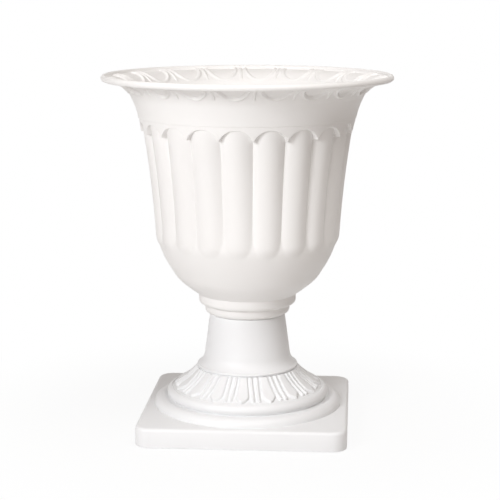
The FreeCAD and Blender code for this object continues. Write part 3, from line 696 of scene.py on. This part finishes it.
# %% Turn the stopper
stem = [(0, 111.6), (6.8, 111.6), (7.4, 111.9), (7.7, 112.5), (8.9, 114.6), (8.95, 118.6)]
flange = [(14.3, 118.6), (14.8, 118.8), (15.0, 119.4), (15.0, 120.3), (14.8, 120.9), (14.2, 121.1)]
grip = [(6.4, 121.2), (5.4, 121.6), (5.0, 122.6), (5.0, 129.0), (5.3, 129.8), (6.2, 130.2)]
knob = [(7.1, 130.5), (7.5, 131.2), (7.5, 132.9), (7.1, 133.8), (6.2, 134.1), (0, 134.1)]
stopper = turn_outline("stopper", stem + flange + grip + knob, steps=96, to_axis=True)
smooth(stopper, 50)
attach(stopper, "drain_plug")
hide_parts("drain_plug")
print("stopper:", sizes_of(stopper))

# %% [markdown]
# ## Finishes
#
# The mouldings are satin polypropylene. A flat white would look like paper, so the shade drifts a
# little, the wall is slightly wavy where the plastic has shrunk, and close up it has the fine
# grain of an etched mould. The pads and the stopper are moulded rubber, which is dull.

# %% Helpers for colours and nodes
def colour(hex_code):
    """sRGB hex to the linear values that the shader works with."""
    parts = [int(hex_code[i:i + 2], 16) / 255 for i in (0, 2, 4)]
    return [p / 12.92 if p <= 0.04045 else ((p + 0.055) / 1.055) ** 2.4 for p in parts] + [1.0]


def blank_tree(owner):
    """The emptied node tree of a material or a world."""
    owner.use_nodes = True
    owner.node_tree.nodes.clear()
    return owner.node_tree


def add_node(tree, kind, settings=(), inputs=(), links=()):
    """Adds a node, sets its fields and sockets, and links (socket, from node, from socket)."""
    node = tree.nodes.new(kind)
    for field, value in dict(settings).items():
        setattr(node, field, value)
    for socket, value in dict(inputs).items():
        node.inputs[socket].default_value = value
    for socket, source, output in links:
        tree.links.new(source.outputs[output], node.inputs[socket])
    return node


# %% Moulded polypropylene
def moulded_polypropylene(name, pale, shade, roughness):
    """Satin plastic, IOR 1.49: soft broad highlights on an even white.

    A noise scale of n gives features of about 1000 / n millimetres.
    """
    material = bpy.data.materials.new(name)
    tree = blank_tree(material)
    place = add_node(tree, "ShaderNodeTexCoord")
    # 110 mm: shade and gloss drift a little over the moulding
    drift = add_node(tree, "ShaderNodeTexNoise", inputs={"Scale": 9.0, "Detail": 3.0},
                     links=[("Vector", place, "Object")])
    tint = add_node(tree, "ShaderNodeMix", {"data_type": "RGBA"},
                    inputs={6: colour(pale), 7: colour(shade)}, links=[("Factor", drift, "Fac")])
    # 45 mm: low waves where the wall has shrunk
    waves = add_node(tree, "ShaderNodeTexNoise", inputs={"Scale": 22.0, "Detail": 1.0},
                     links=[("Vector", place, "Object")])
    # 0.7 mm: an etched mould's grain is near 0.1 mm, and is drawn coarser here so that it shows
    grain = add_node(tree, "ShaderNodeTexNoise", inputs={"Scale": 1400.0, "Detail": 2.0},
                     links=[("Vector", place, "Object")])
    slow = add_node(tree, "ShaderNodeBump", inputs={"Strength": 0.12, "Distance": mm(1)},
                    links=[("Height", waves, "Fac")])
    fine = add_node(tree, "ShaderNodeBump", inputs={"Strength": 0.10, "Distance": mm(0.2)},
                    links=[("Height", grain, "Fac"), ("Normal", slow, "Normal")])
    dull = add_node(tree, "ShaderNodeMapRange",
                    inputs={"To Min": roughness - 0.04, "To Max": roughness + 0.05},
                    links=[("Value", drift, "Fac")])
    shader = add_node(tree, "ShaderNodeBsdfPrincipled", inputs={"IOR": 1.49, "Metallic": 0.0},
                      links=[("Base Color", tint, 2), ("Normal", fine, "Normal"),
                             ("Roughness", dull, "Result")])
    add_node(tree, "ShaderNodeOutputMaterial", links=[("Surface", shader, "BSDF")])
    return material


bowl_finish = moulded_polypropylene("moulded polypropylene, warm white", "ECEBEA", "E8E7E5", 0.50)
foot_finish = moulded_polypropylene("moulded polypropylene, white", "EBECED", "E7E8E9", 0.50)


# %% Moulded rubber
def moulded_rubber(name, dark, light):
    """Dull rubber, IOR 1.52: no clear highlight, with a light bloom and a rough mould's grain."""
    material = bpy.data.materials.new(name)
    tree = blank_tree(material)
    place = add_node(tree, "ShaderNodeTexCoord")
    # 6 mm: patches of bloom
    bloom = add_node(tree, "ShaderNodeTexNoise", inputs={"Scale": 160.0, "Detail": 4.0},
                     links=[("Vector", place, "Object")])
    tint = add_node(tree, "ShaderNodeMix", {"data_type": "RGBA"},
                    inputs={6: colour(dark), 7: colour(light)}, links=[("Factor", bloom, "Fac")])
    # 1.1 mm: the mould's spark-worn grain is finer, and is drawn coarser here so that it shows
    grain = add_node(tree, "ShaderNodeTexNoise", inputs={"Scale": 900.0, "Detail": 2.0},
                     links=[("Vector", place, "Object")])
    fine = add_node(tree, "ShaderNodeBump", inputs={"Strength": 0.25, "Distance": mm(0.3)},
                    links=[("Height", grain, "Fac")])
    shader = add_node(tree, "ShaderNodeBsdfPrincipled",
                      inputs={"IOR": 1.52, "Metallic": 0.0, "Roughness": 0.72},
                      links=[("Base Color", tint, 2), ("Normal", fine, "Normal")])
    add_node(tree, "ShaderNodeOutputMaterial", links=[("Surface", shader, "BSDF")])
    return material


plug_finish = moulded_rubber("moulded rubber, black", "262626", "333333")
pad_finish = moulded_rubber("moulded rubber, grey", "4A4A4A", "5A5A5A")


# %% Put each finish on its pieces
def finish_with(piece, material):
    piece.data.materials.clear()
    piece.data.materials.append(material)


for piece in (bowl_body, bowl_rim):
    finish_with(piece, bowl_finish)
for piece in pedestal_pieces:
    finish_with(piece, foot_finish)
finish_with(stopper, plug_finish)
for piece in pads:
    finish_with(piece, pad_finish)
print("materials:", [material.name for material in bpy.data.materials])

# %% [markdown]
# ## Floor, light and camera
#
# The photograph shows a white ground and soft light from the left, with warm shadows. The floor
# is white to the camera and keeps a little of the urn's shadow. The lamps stay low enough that
# the pale plastic doesn't clip.

# %% Helpers for what only the camera sees as white
def seen_directly(tree):
    """1 for rays from the camera, from a glossy or through a clear surface, otherwise 0."""
    path = add_node(tree, "ShaderNodeLightPath")
    seen = add_node(tree, "ShaderNodeMath", {"operation": "MAXIMUM"},
                    links=[(0, path, "Is Camera Ray"), (1, path, "Is Glossy Ray")])
    return add_node(tree, "ShaderNodeMath", {"operation": "MAXIMUM"},
                    links=[(0, seen, 0), (1, path, "Is Transmission Ray")])


# %% Floor
bpy.ops.object.select_all(action="DESELECT")
bpy.ops.mesh.primitive_plane_add(size=90, location=(0, 0, 0))
floor = bpy.context.object
floor.name = "studio_floor"
paper = bpy.data.materials.new("studio paper, white")
tree = blank_tree(paper)
seen = seen_directly(tree)
lit = add_node(tree, "ShaderNodeBsdfDiffuse", inputs={"Color": colour("F2F2F2")})
glow = add_node(tree, "ShaderNodeEmission", inputs={"Color": colour("FFFFFF"), "Strength": 1.0})
place = add_node(tree, "ShaderNodeTexCoord")
reach = add_node(tree, "ShaderNodeVectorMath", {"operation": "LENGTH"},
                 links=[(0, place, "Object")])
# up to 0.5 m from the urn a small part of the paper is lit, so that it takes the shadow
fade = add_node(tree, "ShaderNodeMapRange", {"interpolation_type": "SMOOTHSTEP"},
                inputs={"From Min": 0.12, "From Max": 0.5, "To Min": 0.91, "To Max": 1.0},
                links=[("Value", reach, "Value")])
share = add_node(tree, "ShaderNodeMath", {"operation": "MULTIPLY"},
                 links=[(0, seen, 0), (1, fade, "Result")])
blend = add_node(tree, "ShaderNodeMixShader",
                 links=[(0, share, 0), (1, lit, "BSDF"), (2, glow, "Emission")])
add_node(tree, "ShaderNodeOutputMaterial", links=[("Surface", blend, "Shader")])
finish_with(floor, paper)

# %% Surroundings
world = bpy.data.worlds.new("studio")
bpy.context.scene.world = world
tree = blank_tree(world)
seen = seen_directly(tree)
soft = add_node(tree, "ShaderNodeBackground", inputs={"Color": colour("FFE3CC"), "Strength": 0.20})
white = add_node(tree, "ShaderNodeBackground", inputs={"Color": colour("FFFFFF"), "Strength": 1.0})
blend = add_node(tree, "ShaderNodeMixShader",
                 links=[(0, seen, 0), (1, soft, "Background"), (2, white, "Background")])
add_node(tree, "ShaderNodeOutputWorld", links=[("Surface", blend, "Shader")])


# %% Lamps
def soft_box(name, place, target, size, power, tint="FFFFFF"):
    """A round area lamp that points at the target, with its size in metres and power in watts."""
    bpy.ops.object.light_add(type="AREA", location=place)
    lamp = bpy.context.object
    lamp.name = name
    lamp.data.shape = "DISK"
    lamp.data.size = size
    lamp.data.energy = power
    lamp.data.color = colour(tint)[:3]
    away = [a - b for a, b in zip(place, target)]
    flat = math.hypot(away[0], away[1])
    lamp.rotation_euler = (math.atan2(flat, away[2]), 0, math.atan2(away[0], -away[1]))
    print(name, power, "W")


soft_box("key_lamp", (-1.22, -1.92, 1.25), (0, 0, 0.25), 0.9, 36, "FAFCFF")
soft_box("front_lamp", (-0.5, -2.4, 0.7), (0, 0, 0.25), 1.2, 6)
soft_box("top_lamp", (0.6, -0.65, 1.85), (0, 0, 0.2), 1.0, 16)

# %% Camera
# fitted to edges and corners in the photograph: a long lens that looks down by 10.7 degrees
bpy.ops.object.camera_add(location=(0.1437, -1.9214, 0.5976),
                          rotation=(math.radians(79.314), 0, math.radians(4.175)))
camera = bpy.context.object
camera.data.sensor_width = 36.0
camera.data.lens = 106.24
bpy.context.scene.camera = camera
bpy.context.scene.view_settings.view_transform = "Standard"
